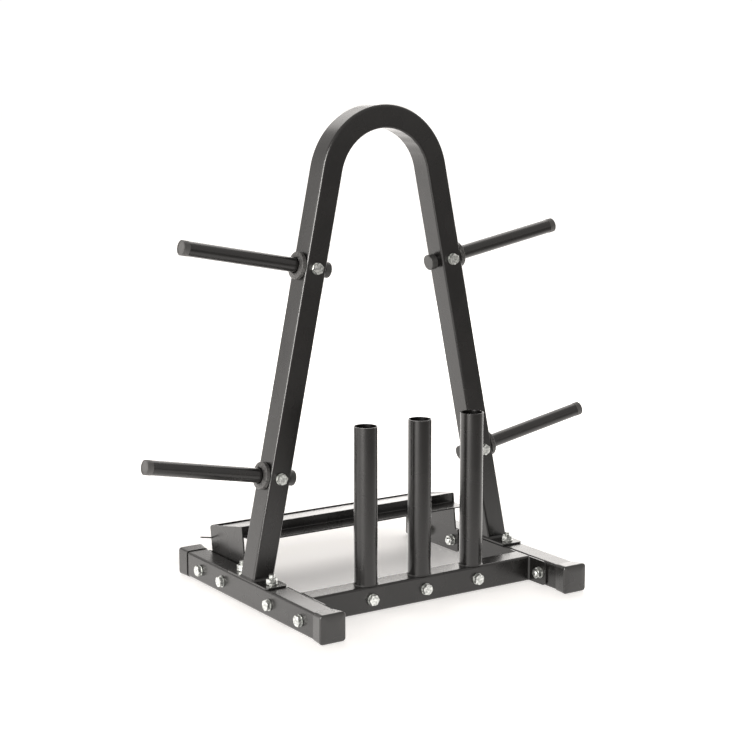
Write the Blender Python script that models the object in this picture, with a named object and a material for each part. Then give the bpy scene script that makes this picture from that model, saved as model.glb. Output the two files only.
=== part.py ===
"""Weight storage rack: a bent upright on two feet, with four plate pegs and three bar holders.

X runs along the front crossbar, the bar holders stand on the -Y side and +Z is up. The origin lies
on the floor at the middle of the footprint. All lengths are in metres.
"""

import math
from collections import namedtuple

import bmesh
import bpy
from mathutils import Matrix, Vector

# Clearances
GAP = 0.0003                 # between faces that touch on the real rack
HOLE_PLAY = 0.0005           # round a shank or a pin, on the radius

# Rectangular tube of the feet, the crossbar and the upright
TUBE_WIDTH = 0.040
TUBE_DEPTH = 0.045
TUBE_WALL = 0.0015
TUBE_CORNER = 0.004

# Feet and their plastic end caps
FEET_APART = 0.4966          # between the feet's centre lines
FOOT_LENGTH = 0.488          # over both end caps
CAP_WALL = 0.0012
CAP_END = 0.006
CAP_LENGTH = 0.028
CAP_FLARE = 0.0032           # growth of each side towards the end face
CAP_RISE = 0.002             # growth of the top
CAP_SLOPE = 0.0035           # height of the pyramid on a cap's end face
CAP_SLOPE_INSET = 0.009

# Upright: two splayed legs and the arch that joins them
ARCH_RADIUS = 0.108          # to the tube's centre line
ARCH_CENTRE_HEIGHT = 0.712
ARCH_STEPS = 16

# Base plates under the legs
BASE_PLATE_THICKNESS = 0.003
BASE_PLATE_WIDTH = 0.042
BASE_PLATE_LENGTH = 0.137
BASE_PLATE_CORNER = 0.007
BASE_BOLT_SPACING = 0.100
BASE_BOLT_STICK_OUT = 0.007

# Plate pegs through the legs
PEG_HEIGHTS = {"upper": 0.5704, "lower": 0.220}
PEG_TILT = math.radians(10.9)  # above the level, outwards
PEG_RADIUS = 0.0125
PEG_WALL = 0.002
PEG_REACH = 0.2457           # leg's centre line to the peg's tip
PEG_STUB = 0.037             # leg's centre line to the inner end
PEG_TIP_CAP = 0.003
PEG_TIP_SPIGOT = 0.012
PEG_TIP_CHAMFER = 0.001
STUB_CAP_WALL = 0.0008
STUB_CAP_END = 0.002
STUB_CAP_LENGTH = 0.012
COLLAR_RADIUS = 0.0235
COLLAR_THICKNESS = 0.008

# Crossbar between the feet, with a bolted plate at each end
CROSSBAR_SETBACK = 0.1195    # foot's front end to the crossbar's centre line
END_PLATE_THICKNESS = 0.003
END_PLATE_LENGTH = 0.132
END_PLATE_HEIGHT = 0.043
END_PLATE_CORNER = 0.004
CROSSBAR_BOLT_SPACING = 0.100

# Upright tubes that hold bars
HOLDER_SPACING = 0.1095
HOLDER_RADIUS = 0.020
HOLDER_WALL = 0.0015
HOLDER_HEIGHT = 0.3165       # top edge above the floor
HOLDER_FLOOR = 0.003
SPIGOT_RADIUS = 0.011        # peg under each holder, inside the crossbar

# Rear shelf: bent sheet between two bolted brackets. Places are (y, z), y from the brackets' rear edge
SHELF_SHEET = 0.002
SHELF_LIP_DEPTH = 0.039
SHELF_LIP_HEIGHT = 0.0975
SHELF_HEM = 0.0025           # upturned rear edge
BRACKET_SETBACK = 0.032      # foot's rear end to the bracket
BRACKET_THICKNESS = 0.003
BRACKET_LENGTH = 0.1414
BRACKET_BOTTOM = 0.003
BRACKET_SHOULDER = 0.0455    # where the tab rises from the lower part
TAB_FRONT_FOOT = -0.133
TAB_FRONT_TOP = (-0.124, 0.115)
TAB_BACK_TOP = (-0.008, 0.092)
TAB_BACK_FOOT = -0.015
BRACKET_CORNER = 0.004
BRACKET_BOLTS = (-0.125, -0.045)
PIN_RADIUS = 0.00125
PIN_REACH = 0.0225           # outside the bracket
PIN_TILT = math.radians(10.7)  # above the level, outwards
PIN_HEAD_RADIUS = 0.0025
PIN_HEAD = 0.006
PIN_SPOT = (-0.013, 0.070)

# Standard hardware: shank radius, washer, hexagon and head or nut heights
Thread = namedtuple("Thread", "radius washer_radius washer across head nut stick_out")
M10 = Thread(0.005, 0.010, 0.0020, 0.017, 0.0064, 0.0080, 0.004)

# Facets
CORNER_STEPS = 2
ROUND_SIDES = 24
BOLT_SIDES = 12
SHARP_ANGLE = math.radians(35)

# Places that follow from the sizes above
FOOT_X = FEET_APART / 2
FOOT_INNER_X = FOOT_X - TUBE_WIDTH / 2
TUBE_MIDDLE = CAP_WALL + GAP + TUBE_DEPTH / 2
TUBE_TOP = TUBE_MIDDLE + TUBE_DEPTH / 2
LEG_BOTTOM = TUBE_TOP + GAP + BASE_PLATE_THICKNESS + GAP
SIDES = {"left": -1, "right": 1}
FOOT_BOLT_GRIP_REST = TUBE_WIDTH + GAP
CROSSBAR_Y = CROSSBAR_SETBACK - FOOT_LENGTH / 2
BRACKET_BACK = FOOT_LENGTH / 2 - BRACKET_SETBACK


def leg_splay():
    """Angle of the legs from the vertical: each is tangent to the arch and ends over its foot."""
    drop = ARCH_CENTRE_HEIGHT - LEG_BOTTOM
    reach = math.hypot(FOOT_X, drop)
    return math.acos(ARCH_RADIUS / reach) - math.atan2(drop, FOOT_X)


SPLAY = leg_splay()


def leg_x(height):
    """Distance of a leg's centre line from the middle plane at a height."""
    drop = ARCH_CENTRE_HEIGHT - height
    return (ARCH_RADIUS + drop * math.sin(SPLAY)) / math.cos(SPLAY)


def clear_scene():
    for thing in list(bpy.data.objects):
        bpy.data.objects.remove(thing, do_unlink=True)


def material(name, colour, roughness, metallic):
    look = bpy.data.materials.new(name)
    look.use_nodes = True
    shader = look.node_tree.nodes["Principled BSDF"]
    shader.inputs["Base Color"].default_value = (*colour, 1.0)
    shader.inputs["Roughness"].default_value = roughness
    shader.inputs["Metallic"].default_value = metallic
    look.diffuse_color = (*colour, 1.0)
    return look


def add_piece(name, mesh, look, location=(0, 0, 0), rotation=(0, 0, 0), parent=None):
    piece = bpy.data.objects.new(name, mesh)
    bpy.context.scene.collection.objects.link(piece)
    piece.location = location
    piece.rotation_euler = rotation
    piece.parent = parent
    if not mesh.materials:
        mesh.materials.append(look)
    return piece


def add_station(name, location, rotation=(0, 0, 0)):
    """Empty that carries the pieces of one place."""
    station = bpy.data.objects.new(name, None)
    bpy.context.scene.collection.objects.link(station)
    station.location = location
    station.rotation_euler = rotation
    return station


def finish_mesh(name, shape):
    """Turns a bmesh into a mesh with outward faces, smooth where it is round."""
    bmesh.ops.recalc_face_normals(shape, faces=shape.faces[:])
    mesh = bpy.data.meshes.new(name)
    shape.to_mesh(mesh)
    shape.free()
    mesh.shade_smooth()
    mesh.set_sharp_from_angle(angle=SHARP_ANGLE)
    return mesh


def skin(name, rings, hollow=False):
    """Skin through rings of points: closed by its end faces, or by meeting itself when hollow."""
    shape = bmesh.new()
    loops = [[shape.verts.new(point) for point in ring] for ring in rings]
    bands = list(zip(loops, loops[1:]))
    if hollow:
        bands.append((loops[-1], loops[0]))
    else:
        shape.faces.new(loops[0])
        shape.faces.new(loops[-1])
    for lower, upper in bands:
        for i in range(len(lower)):
            j = (i + 1) % len(lower)
            shape.faces.new((lower[i], lower[j], upper[j], upper[i]))
    return finish_mesh(name, shape)


def rounded_outline(corners, radius, steps):
    """Outline through corner points (anticlockwise), each rounded by an arc of one radius."""
    points = []
    for i, corner in enumerate(corners):
        here = Vector(corner)
        before = (Vector(corners[i - 1]) - here).normalized()
        after = (Vector(corners[(i + 1) % len(corners)]) - here).normalized()
        half = before.angle(after) / 2
        setback = radius / math.tan(half)
        start = here + before * setback
        end = here + after * setback
        centre = here + (before + after).normalized() * radius / math.sin(half)
        turn = (start - centre).angle_signed(end - centre)
        for step in range(steps + 1):
            spoke = start - centre
            spoke.rotate(Matrix.Rotation(-turn * step / steps, 2))
            points.append(centre + spoke)
    return points


def rectangle(width, height, corner, steps=CORNER_STEPS):
    half_width = width / 2
    half_height = height / 2
    corners = [(-half_width, -half_height), (half_width, -half_height),
               (half_width, half_height), (-half_width, half_height)]
    return rounded_outline(corners, corner, steps)


def box_tube(name, width, height, length):
    """Straight rectangular tube along local Y, with its width along X and its height along Z."""
    outer = rectangle(width, height, TUBE_CORNER)
    inner = rectangle(width - 2 * TUBE_WALL, height - 2 * TUBE_WALL, TUBE_CORNER - TUBE_WALL)
    rings = []
    for outline, y in ((outer, -length / 2), (outer, length / 2), (inner, length / 2), (inner, -length / 2)):
        rings.append([(point.x, y, point.y) for point in outline])
    return skin(name, rings, hollow=True)


def turned(name, profile, sides=ROUND_SIDES, hollow=False):
    """Round piece about local Z, from a profile of (radius, height) points."""
    rings = []
    for radius, height in profile:
        angles = [math.tau * k / sides for k in range(sides)]
        rings.append([(radius * math.cos(angle), radius * math.sin(angle), height) for angle in angles])
    return skin(name, rings, hollow)


def plate(name, outline, thickness):
    """Flat plate of an outline in local XY, from Z = 0 up."""
    rings = [[(point.x, point.y, z) for point in outline] for z in (0, thickness)]
    return skin(name, rings)


def drill(piece, label, radius, length, spots, sides=BOLT_SIDES):
    """Round holes through a piece; each spot is a centre and a direction in the piece's own axes."""
    shape = bmesh.new()
    for centre, direction in spots:
        turn = Vector(direction).to_track_quat("Z", "Y").to_matrix().to_4x4()
        bmesh.ops.create_cone(shape, cap_ends=True, segments=sides, radius1=radius, radius2=radius,
                              depth=length, matrix=Matrix.Translation(centre) @ turn)
    mesh = bpy.data.meshes.new(label)
    shape.to_mesh(mesh)
    shape.free()
    cutter = bpy.data.objects.new(label, mesh)
    bpy.context.scene.collection.objects.link(cutter)
    cutter.parent = piece
    cutter.hide_render = True
    cutter.display_type = "WIRE"
    cut = piece.modifiers.new(label, "BOOLEAN")
    cut.operation = "DIFFERENCE"
    cut.solver = "EXACT"
    cut.object = cutter


def bolt_ring(radius, height, hexagon=False):
    """Ring of a bolt about local Z; a hexagon's radius is half its width across flats."""
    ring = []
    for k in range(BOLT_SIDES):
        angle = math.tau * k / BOLT_SIDES
        reach = radius / math.cos(math.pi / 6) if hexagon and k % 2 == 0 else radius
        ring.append((reach * math.cos(angle), reach * math.sin(angle), height))
    return ring


def bolt_set(name, thread, grip, look, location, rotation, parent=None):
    """Hexagon bolt, two washers and nut in one solid: the nut's seat at local Z = 0, the head's at grip."""
    flats = thread.across / 2
    nut_washer = -GAP - thread.washer
    nut_end = nut_washer - thread.nut
    head_washer = grip + GAP + thread.washer
    rings = [
        bolt_ring(thread.radius, nut_end - thread.stick_out),
        bolt_ring(thread.radius, nut_end),
        bolt_ring(flats, nut_end, hexagon=True),
        bolt_ring(flats, nut_washer, hexagon=True),
        bolt_ring(thread.washer_radius + GAP, nut_washer),
        bolt_ring(thread.washer_radius + GAP, -GAP),
        bolt_ring(thread.radius, -GAP),
        bolt_ring(thread.radius, grip + GAP),
        bolt_ring(thread.washer_radius + GAP, grip + GAP),
        bolt_ring(thread.washer_radius + GAP, head_washer),
        bolt_ring(flats, head_washer, hexagon=True),
        bolt_ring(flats, head_washer + thread.head, hexagon=True),
    ]
    return add_piece(name, skin(name, rings), look, location, rotation, parent)


def base_bolt(name, look, location):
    """Round-headed bolt from inside the foot, with its washer and nut on the base plate."""
    grip = TUBE_WALL + GAP + BASE_PLATE_THICKNESS
    washer_top = grip + GAP + M10.washer
    nut_top = washer_top + M10.nut
    rings = [
        bolt_ring(M10.across / 2, -GAP - M10.head / 2),
        bolt_ring(M10.washer_radius, -GAP),
        bolt_ring(M10.radius, -GAP),
        bolt_ring(M10.radius, grip + GAP),
        bolt_ring(M10.washer_radius + GAP, grip + GAP),
        bolt_ring(M10.washer_radius + GAP, washer_top),
        bolt_ring(M10.across / 2, washer_top, hexagon=True),
        bolt_ring(M10.across / 2, nut_top, hexagon=True),
        bolt_ring(M10.radius, nut_top),
        bolt_ring(M10.radius, nut_top + BASE_BOLT_STICK_OUT),
    ]
    return add_piece(name, skin(name, rings), look, location)


def build_feet(paint, plastic):
    """Feet: straight tubes along Y, drilled for the base plates, the crossbar and the brackets."""
    tube_length = FOOT_LENGTH - 2 * (CAP_END + GAP)
    cross_bolts = [CROSSBAR_Y - CROSSBAR_BOLT_SPACING / 2, CROSSBAR_Y + CROSSBAR_BOLT_SPACING / 2]
    cross_bolts += [BRACKET_BACK + y for y in BRACKET_BOLTS]
    for side, sign in SIDES.items():
        name = f"foot_{side}"
        foot = add_piece(name, box_tube(name, TUBE_WIDTH, TUBE_DEPTH, tube_length), paint,
                         (sign * FOOT_X, 0, TUBE_MIDDLE))
        drill(foot, f"{name}_cross_holes", M10.radius + HOLE_PLAY, 2 * TUBE_WIDTH,
              [((0, y, 0), (1, 0, 0)) for y in cross_bolts])
        drill(foot, f"{name}_base_holes", M10.radius + HOLE_PLAY, TUBE_DEPTH / 2,
              [((0, y, TUBE_DEPTH / 2), (0, 0, 1)) for y in (-BASE_BOLT_SPACING / 2, BASE_BOLT_SPACING / 2)])
        for end, turn in (("front", math.pi), ("back", 0)):
            cap_name = f"foot_cap_{side}_{end}"
            tube_end = tube_length / 2 if end == "back" else -tube_length / 2
            add_piece(cap_name, foot_cap(cap_name), plastic,
                      (sign * FOOT_X, tube_end, TUBE_MIDDLE), (0, 0, turn))


def foot_cap(name):
    """Plastic sleeve over a foot's end, flared and closed by a low pyramid; the tube ends at local Y = 0."""
    width = TUBE_WIDTH + 2 * GAP
    height = TUBE_DEPTH + 2 * GAP
    corner = TUBE_CORNER + GAP
    wide = width + 2 * (CAP_WALL + CAP_FLARE)
    tall = height + 2 * CAP_WALL + CAP_RISE
    end_y = GAP + CAP_END
    open_y = end_y - CAP_LENGTH
    sections = [
        (width, height, corner, 0, GAP),
        (width, height, corner, 0, open_y),
        (width + 2 * CAP_WALL, height + 2 * CAP_WALL, corner + CAP_WALL, 0, open_y),
        (wide, tall, corner + CAP_WALL, CAP_RISE / 2, end_y - CAP_SLOPE),
        (wide - CAP_SLOPE_INSET, tall - CAP_SLOPE_INSET, corner, CAP_RISE / 2, end_y),
    ]
    rings = []
    for across, up, radius, lift, y in sections:
        rings.append([(point.x, y, point.y + lift) for point in rectangle(across, up, radius)])
    return skin(name, rings)


def upright_ring(width, depth, corner, angle, cut=None):
    """Section of the upright at an angle round the arch; cut slides it down its leg to a height."""
    outward = Vector((math.cos(angle), 0, math.sin(angle)))
    centre = Vector((0, 0, ARCH_CENTRE_HEIGHT)) + outward * ARCH_RADIUS
    along = Vector((-outward.z, 0, outward.x))
    ring = []
    for point in rectangle(width, depth, corner):
        spot = centre + outward * point.x + Vector((0, point.y, 0))
        if cut is not None:
            spot += along * (cut - spot.z) / along.z
        ring.append(spot)
    return ring


def build_upright(paint):
    """Upright: one rectangular tube bent into an arch, drilled for the pegs and their bolts."""
    angles = [SPLAY + (math.pi - 2 * SPLAY) * k / ARCH_STEPS for k in range(ARCH_STEPS + 1)]
    rings = []
    for wall in (0, TUBE_WALL):
        width = TUBE_WIDTH - 2 * wall
        depth = TUBE_DEPTH - 2 * wall
        corner = TUBE_CORNER - wall
        run = [upright_ring(width, depth, corner, angles[0], LEG_BOTTOM)]
        run += [upright_ring(width, depth, corner, angle) for angle in angles]
        run.append(upright_ring(width, depth, corner, angles[-1], LEG_BOTTOM))
        rings += run if not rings else run[::-1]
    upright = add_piece("upright", skin("upright", rings, hollow=True), paint)
    peg_spots = []
    bolt_spots = []
    for height in PEG_HEIGHTS.values():
        for sign in SIDES.values():
            spot = (sign * leg_x(height), 0, height)
            peg_spots.append((spot, (sign * math.cos(PEG_TILT), 0, math.sin(PEG_TILT))))
            bolt_spots.append((spot, (0, 1, 0)))
    drill(upright, "upright_peg_holes", PEG_RADIUS + HOLE_PLAY, 1.5 * TUBE_WIDTH, peg_spots, ROUND_SIDES)
    drill(upright, "upright_bolt_holes", M10.radius + HOLE_PLAY, 1.5 * TUBE_DEPTH, bolt_spots)


def build_base_plates(paint, zinc):
    """Base plates: welded under the legs and bolted to the feet."""
    outline = rectangle(BASE_PLATE_WIDTH, BASE_PLATE_LENGTH, BASE_PLATE_CORNER, 3)
    bolt_places = {"front": -BASE_BOLT_SPACING / 2, "back": BASE_BOLT_SPACING / 2}
    for side, sign in SIDES.items():
        name = f"base_plate_{side}"
        base = add_piece(name, plate(name, outline, BASE_PLATE_THICKNESS), paint,
                         (sign * FOOT_X, 0, TUBE_TOP + GAP))
        drill(base, f"{name}_holes", M10.radius + HOLE_PLAY, 4 * BASE_PLATE_THICKNESS,
              [((0, y, 0), (0, 0, 1)) for y in bolt_places.values()])
        for end, y in bolt_places.items():
            base_bolt(f"base_bolt_{side}_{end}", zinc, (sign * FOOT_X, y, TUBE_TOP - TUBE_WALL))


def build_pegs(paint, plastic, zinc):
    """Pegs: each a tube through its leg, with a collar, two end caps and a bolt from front to back."""
    bore = PEG_RADIUS - PEG_WALL
    tube_outer_end = PEG_REACH - PEG_TIP_CAP - GAP
    tube_inner_end = -PEG_STUB + STUB_CAP_END + GAP
    sliding_bore = PEG_RADIUS + GAP
    stub_radius = sliding_bore + STUB_CAP_WALL
    lean = SPLAY - PEG_TILT
    collar_start = TUBE_WIDTH / 2 / math.cos(lean) + COLLAR_RADIUS * abs(math.tan(lean)) + GAP
    profiles = {
        "peg": [(PEG_RADIUS, tube_inner_end), (PEG_RADIUS, tube_outer_end),
                (bore, tube_outer_end), (bore, tube_inner_end)],
        "peg_collar": [(COLLAR_RADIUS, collar_start), (COLLAR_RADIUS, collar_start + COLLAR_THICKNESS),
                       (sliding_bore, collar_start + COLLAR_THICKNESS), (sliding_bore, collar_start)],
        "peg_tip_cap": [(bore - GAP, tube_outer_end - PEG_TIP_SPIGOT), (bore - GAP, PEG_REACH - PEG_TIP_CAP),
                        (PEG_RADIUS, PEG_REACH - PEG_TIP_CAP), (PEG_RADIUS, PEG_REACH - PEG_TIP_CHAMFER),
                        (PEG_RADIUS - PEG_TIP_CHAMFER, PEG_REACH)],
        "peg_stub_cap": [(stub_radius, -PEG_STUB), (stub_radius, -PEG_STUB + STUB_CAP_LENGTH),
                         (sliding_bore, -PEG_STUB + STUB_CAP_LENGTH), (sliding_bore, tube_inner_end - GAP)],
    }
    looks = {"peg": paint, "peg_collar": paint, "peg_tip_cap": plastic, "peg_stub_cap": plastic}
    for level, height in PEG_HEIGHTS.items():
        for side, sign in SIDES.items():
            place = f"{level}_{side}"
            spot = (sign * leg_x(height), 0, height)
            along_peg = (0, sign * (math.pi / 2 - PEG_TILT), 0)
            station = add_station(f"peg_station_{place}", spot, along_peg)
            for kind, profile in profiles.items():
                name = f"{kind}_{place}"
                hollow = kind in ("peg", "peg_collar")
                piece = add_piece(name, turned(name, profile, hollow=hollow), looks[kind], parent=station)
                if kind == "peg":
                    drill(piece, f"{name}_bolt_hole", M10.radius + HOLE_PLAY, 4 * PEG_RADIUS,
                          [((0, 0, 0), (0, 1, 0))])
            bolt_set(f"peg_bolt_{place}", M10, TUBE_DEPTH, zinc,
                     (spot[0], TUBE_DEPTH / 2, height), (math.pi / 2, 0, 0))


def build_crossbar(paint, zinc):
    """Crossbar: tube between the feet, a welded plate at each end and two bolts through each foot."""
    half_length = FOOT_INNER_X - GAP - END_PLATE_THICKNESS - GAP
    holder_spots = [k * HOLDER_SPACING for k in (-1, 0, 1)]
    bar = add_piece("crossbar", box_tube("crossbar", TUBE_WIDTH, TUBE_DEPTH, 2 * half_length), paint,
                    (0, CROSSBAR_Y, TUBE_MIDDLE), (0, 0, math.pi / 2))
    drill(bar, "crossbar_spigot_holes", SPIGOT_RADIUS + HOLE_PLAY, TUBE_DEPTH / 2,
          [((0, x, TUBE_DEPTH / 2), (0, 0, 1)) for x in holder_spots], ROUND_SIDES)
    drill(bar, "crossbar_bolt_holes", M10.radius + HOLE_PLAY, 2 * TUBE_WIDTH,
          [((0, x, 0), (1, 0, 0)) for x in holder_spots])
    outline = rectangle(END_PLATE_LENGTH, END_PLATE_HEIGHT, END_PLATE_CORNER)
    bolt_places = {"front": -CROSSBAR_BOLT_SPACING / 2, "back": CROSSBAR_BOLT_SPACING / 2}
    for side, sign in SIDES.items():
        name = f"crossbar_end_plate_{side}"
        inner_x = FOOT_INNER_X - GAP - END_PLATE_THICKNESS
        end_plate = add_piece(name, plate(name, outline, END_PLATE_THICKNESS), paint,
                              (sign * inner_x, CROSSBAR_Y, TUBE_MIDDLE), (math.pi / 2, 0, sign * math.pi / 2))
        drill(end_plate, f"{name}_holes", M10.radius + HOLE_PLAY, 4 * END_PLATE_THICKNESS,
              [((y, 0, 0), (0, 0, 1)) for y in bolt_places.values()])
        for end, y in bolt_places.items():
            bolt_set(f"crossbar_bolt_{side}_{end}", M10, END_PLATE_THICKNESS + FOOT_BOLT_GRIP_REST, zinc,
                     (sign * inner_x, CROSSBAR_Y + y, TUBE_MIDDLE), (0, sign * math.pi / 2, 0))


def build_holders(paint, zinc):
    """Bar holders: open tubes on the crossbar, each with a spigot inside it and a bolt through both."""
    bottom = TUBE_TOP + GAP
    spigot_bottom = TUBE_TOP - TUBE_DEPTH + TUBE_WALL + GAP
    profile = [
        (HOLDER_RADIUS - HOLDER_WALL, bottom + HOLDER_FLOOR),
        (HOLDER_RADIUS - HOLDER_WALL, HOLDER_HEIGHT),
        (HOLDER_RADIUS, HOLDER_HEIGHT),
        (HOLDER_RADIUS, bottom),
        (SPIGOT_RADIUS, bottom),
        (SPIGOT_RADIUS, spigot_bottom),
    ]
    for place, k in (("left", -1), ("middle", 0), ("right", 1)):
        name = f"bar_holder_{place}"
        holder = add_piece(name, turned(name, profile), paint, (k * HOLDER_SPACING, CROSSBAR_Y, 0))
        drill(holder, f"{name}_bolt_hole", M10.radius + HOLE_PLAY, 4 * SPIGOT_RADIUS,
              [((0, 0, TUBE_MIDDLE), (0, 1, 0))])
        bolt_set(f"holder_bolt_{place}", M10, TUBE_WIDTH, zinc,
                 (k * HOLDER_SPACING, CROSSBAR_Y + TUBE_WIDTH / 2, TUBE_MIDDLE), (math.pi / 2, 0, 0))


def bent_sheet(name, line, thickness, half_length):
    """Sheet bent along local X: its upper side follows a line of (y, z) points, its thickness lies behind."""
    spots = [Vector(point) for point in line]
    runs = [(end - start).normalized() for start, end in zip(spots, spots[1:])]
    backs = [Vector((run.y, -run.x)) for run in runs]
    far_side = []
    for spot, before, after in zip(spots, [backs[0], *backs], [*backs, backs[-1]]):
        far_side.append(spot + (before + after) * thickness / (1 + before.dot(after)))
    outline = spots + far_side[::-1]
    rings = [[(x, point.x, point.y) for point in outline] for x in (-half_length, half_length)]
    return skin(name, rings)


def build_rear(paint, zinc):
    """Rear shelf: bent sheet between two brackets that are bolted to the feet's inner faces."""
    inner_x = FOOT_INNER_X - GAP - BRACKET_THICKNESS
    front_y, front_top = TAB_FRONT_TOP
    back_y, back_top = TAB_BACK_TOP
    line = [(front_y - SHELF_LIP_DEPTH, SHELF_LIP_HEIGHT), (front_y, SHELF_LIP_HEIGHT), TAB_FRONT_TOP,
            (back_y, back_top - SHELF_HEM), TAB_BACK_TOP]
    add_piece("rear_shelf", bent_sheet("rear_shelf", line, SHELF_SHEET, inner_x - GAP), paint,
              (0, BRACKET_BACK, 0))
    corners = [(-BRACKET_LENGTH, BRACKET_BOTTOM), (0, BRACKET_BOTTOM), (0, BRACKET_SHOULDER),
               (TAB_BACK_FOOT, BRACKET_SHOULDER), TAB_BACK_TOP, TAB_FRONT_TOP,
               (TAB_FRONT_FOOT, BRACKET_SHOULDER), (-BRACKET_LENGTH, BRACKET_SHOULDER)]
    outline = rounded_outline(corners, BRACKET_CORNER, CORNER_STEPS)
    pin_y, pin_z = PIN_SPOT
    head_top = -(GAP + PIN_HEAD_RADIUS * math.sin(PIN_TILT)) / math.cos(PIN_TILT)
    pin_profile = [(PIN_HEAD_RADIUS, head_top - PIN_HEAD), (PIN_HEAD_RADIUS, head_top),
                   (PIN_RADIUS, head_top), (PIN_RADIUS, BRACKET_THICKNESS + PIN_REACH)]
    for side, sign in SIDES.items():
        name = f"rear_bracket_{side}"
        start_x = inner_x if sign > 0 else -inner_x - BRACKET_THICKNESS
        bracket = add_piece(name, plate(name, outline, BRACKET_THICKNESS), paint,
                            (start_x, BRACKET_BACK, 0), (math.pi / 2, 0, math.pi / 2))
        drill(bracket, f"{name}_bolt_holes", M10.radius + HOLE_PLAY, 4 * BRACKET_THICKNESS,
              [((y, TUBE_MIDDLE, 0), (0, 0, 1)) for y in BRACKET_BOLTS])
        inner_face = BRACKET_THICKNESS * (1 - sign) / 2
        drill(bracket, f"{name}_pin_hole", PIN_RADIUS + GAP, 4 * BRACKET_THICKNESS,
              [((pin_y, pin_z, inner_face), (0, math.sin(PIN_TILT), sign * math.cos(PIN_TILT)))])
        pin_name = f"bracket_pin_{side}"
        add_piece(pin_name, turned(pin_name, pin_profile, BOLT_SIDES), zinc,
                  (sign * inner_x, BRACKET_BACK + pin_y, pin_z), (0, sign * (math.pi / 2 - PIN_TILT), 0))
        for end, y in zip(("front", "back"), BRACKET_BOLTS):
            bolt_set(f"bracket_bolt_{side}_{end}", M10, BRACKET_THICKNESS + FOOT_BOLT_GRIP_REST, zinc,
                     (sign * inner_x, BRACKET_BACK + y, TUBE_MIDDLE), (0, sign * math.pi / 2, 0))


def build_rack():
    clear_scene()
    paint = material("black_powder_coat", (0.035, 0.035, 0.037), 0.38, 0.0)
    foot_plastic = material("dark_grey_plastic", (0.05, 0.05, 0.052), 0.55, 0.0)
    peg_plastic = material("grey_plastic", (0.09, 0.09, 0.092), 0.5, 0.0)
    zinc = material("zinc_plated_steel", (0.72, 0.73, 0.75), 0.3, 1.0)
    build_feet(paint, foot_plastic)
    build_upright(paint)
    build_base_plates(paint, zinc)
    build_pegs(paint, peg_plastic, zinc)
    build_crossbar(paint, zinc)
    build_holders(paint, zinc)
    build_rear(paint, zinc)


build_rack()
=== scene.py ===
"""Looks of the weight storage rack: powder-coated tube, plastic caps and zinc-plated bolts."""
import math

import bmesh
import bpy
from mathutils import Matrix, Vector


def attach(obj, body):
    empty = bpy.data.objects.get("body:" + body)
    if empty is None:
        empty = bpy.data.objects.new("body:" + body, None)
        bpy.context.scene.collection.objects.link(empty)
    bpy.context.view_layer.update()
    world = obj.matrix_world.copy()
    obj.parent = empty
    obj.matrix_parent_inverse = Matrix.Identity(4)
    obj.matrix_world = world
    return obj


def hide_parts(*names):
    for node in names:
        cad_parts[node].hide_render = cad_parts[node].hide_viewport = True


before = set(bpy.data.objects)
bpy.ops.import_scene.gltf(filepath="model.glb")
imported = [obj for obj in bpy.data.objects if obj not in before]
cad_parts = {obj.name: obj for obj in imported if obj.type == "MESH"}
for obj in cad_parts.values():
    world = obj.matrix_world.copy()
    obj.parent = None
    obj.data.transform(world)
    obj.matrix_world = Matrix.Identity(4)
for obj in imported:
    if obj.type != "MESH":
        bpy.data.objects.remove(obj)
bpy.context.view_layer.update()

# Feet: two straight lengths of 40 x 45 mm steel tube that lie along Y, cut square and powder coated
# satin black. The crossbar, the upright's base plates and the rear brackets are bolted to them.
SIDES = {"left": -1, "right": 1}
FOOT_X = 0.2483            # middle plane to a foot's centre line
FOOT_HALF_LENGTH = 0.2377
TUBE_WIDTH = 0.040
TUBE_DEPTH = 0.045
TUBE_WALL = 0.0015
TUBE_CORNER = 0.0042
TUBE_CORNER_STEPS = 7
TUBE_MIDDLE = 0.024        # height of the feet's and the crossbar's centre lines
TUBE_TOP = 0.0465
GAP = 0.0003               # between two pieces that touch in the real rack
SMOOTH_BELOW = math.radians(35)
ALONG = 0.9                # a direction's least share of the axis that it runs along
ACROSS = 0.1               # its largest share of an axis that it lies across
SQUARE = 0.9999            # its least share of the axis that it is exactly on
NEAR = 0.001               # distance within which a middle counts as on a line
TOUCH = 0.0001             # distance within which it counts as on a face


def deselect():
    """Leaves edit mode and deselects every piece."""
    if bpy.context.object and bpy.context.object.mode == "EDIT":
        bpy.ops.object.mode_set(mode="OBJECT")
    bpy.ops.object.select_all(action="DESELECT")


def pick(piece):
    """Makes a piece the only one selected."""
    deselect()
    piece.select_set(True)
    bpy.context.view_layer.objects.active = piece


def freeze(piece):
    """Puts a piece's place, turn and scale into its mesh."""
    pick(piece)
    bpy.ops.object.transform_apply(location=True, rotation=True, scale=True)


def block(name, size, centre=(0, 0, 0)):
    """Cube primitive of a size, at its place."""
    deselect()
    bpy.ops.mesh.primitive_cube_add(size=1, location=centre, scale=size)
    piece = bpy.context.object
    piece.name = name
    piece.data.name = name
    freeze(piece)
    return piece


def round_bar(name, radius, bottom, top, sides=48):
    """Cylinder primitive along Z between two heights."""
    deselect()
    bpy.ops.mesh.primitive_cylinder_add(vertices=sides, radius=radius, depth=top - bottom,
                                        location=(0, 0, (top + bottom) / 2))
    piece = bpy.context.object
    piece.name = name
    piece.data.name = name
    freeze(piece)
    return piece


def choose_faces(piece, test):
    """Goes to edit mode with only the faces selected whose middle and normal pass a test."""
    pick(piece)
    bpy.ops.object.mode_set(mode="EDIT")
    bpy.ops.mesh.select_mode(type="FACE")
    bpy.ops.mesh.select_all(action="DESELECT")
    shape = bmesh.from_edit_mesh(piece.data)
    shape.normal_update()
    for face in shape.faces:
        if test(face.calc_center_median(), face.normal):
            face.select_set(True)
    bmesh.update_edit_mesh(piece.data)


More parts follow.
